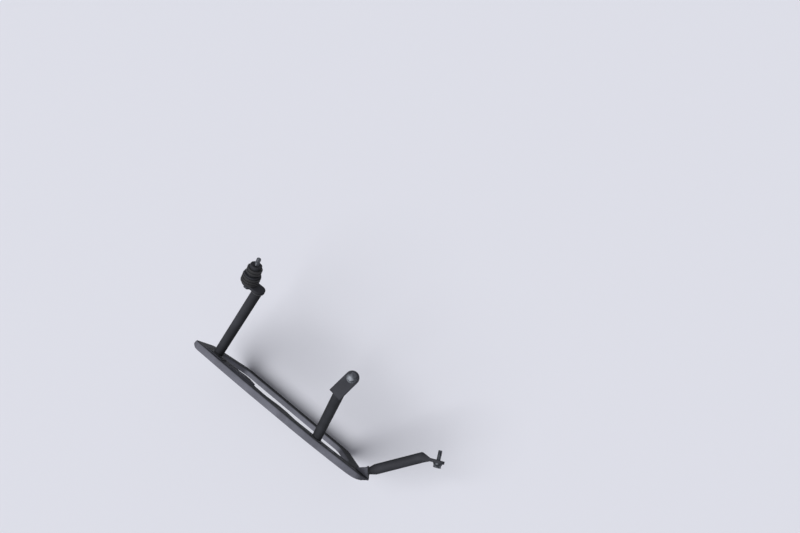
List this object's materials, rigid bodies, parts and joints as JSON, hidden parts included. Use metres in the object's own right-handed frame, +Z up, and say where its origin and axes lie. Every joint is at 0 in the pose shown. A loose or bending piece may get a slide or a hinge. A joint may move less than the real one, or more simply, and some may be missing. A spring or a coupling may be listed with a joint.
{
  "type": "pannier frame",
  "caption": "Pressed steel ring with flanged edges that carries a side case, held off the machine by three tube struts.",
  "frame": {"origin": "on the rear mounting screw, where the top spacer meets the tail of the machine", "axes": "+X to the front of the machine, +Y inboard towards its centre line, +Z up along the side plate"},
  "size_m": [0.5116, 0.2019, 0.3315],
  "materials": {
    "plate": "satin powder coat",
    "tube": "satin powder coat",
    "weld": "satin powder coat",
    "screw": "black zinc",
    "bush": "matt",
    "disc": "satin black"
  },
  "bodies": {
    "root": {"side_plate": "plate", "rear_strut": "tube", "middle_strut": "tube", "front_strut": "tube", "rear_foot_weld": "weld", "middle_foot_weld": "weld", "front_foot_weld": "weld", "rear_eye_weld": "weld", "middle_tab_weld": "weld", "front_bracket": "plate", "rear_eye": "tube", "middle_tab": "tube", "front_tab": "tube", "rear_screw": "screw", "middle_screw": "screw", "front_screw": "screw", "rear_washer": "screw", "middle_washer": "screw", "front_washer": "screw", "rubber_bush": "bush", "top_ring": "bush", "bush_disc": "disc", "bush_neck": "disc", "top_spacer": "disc"}
  },
  "joints": []
}
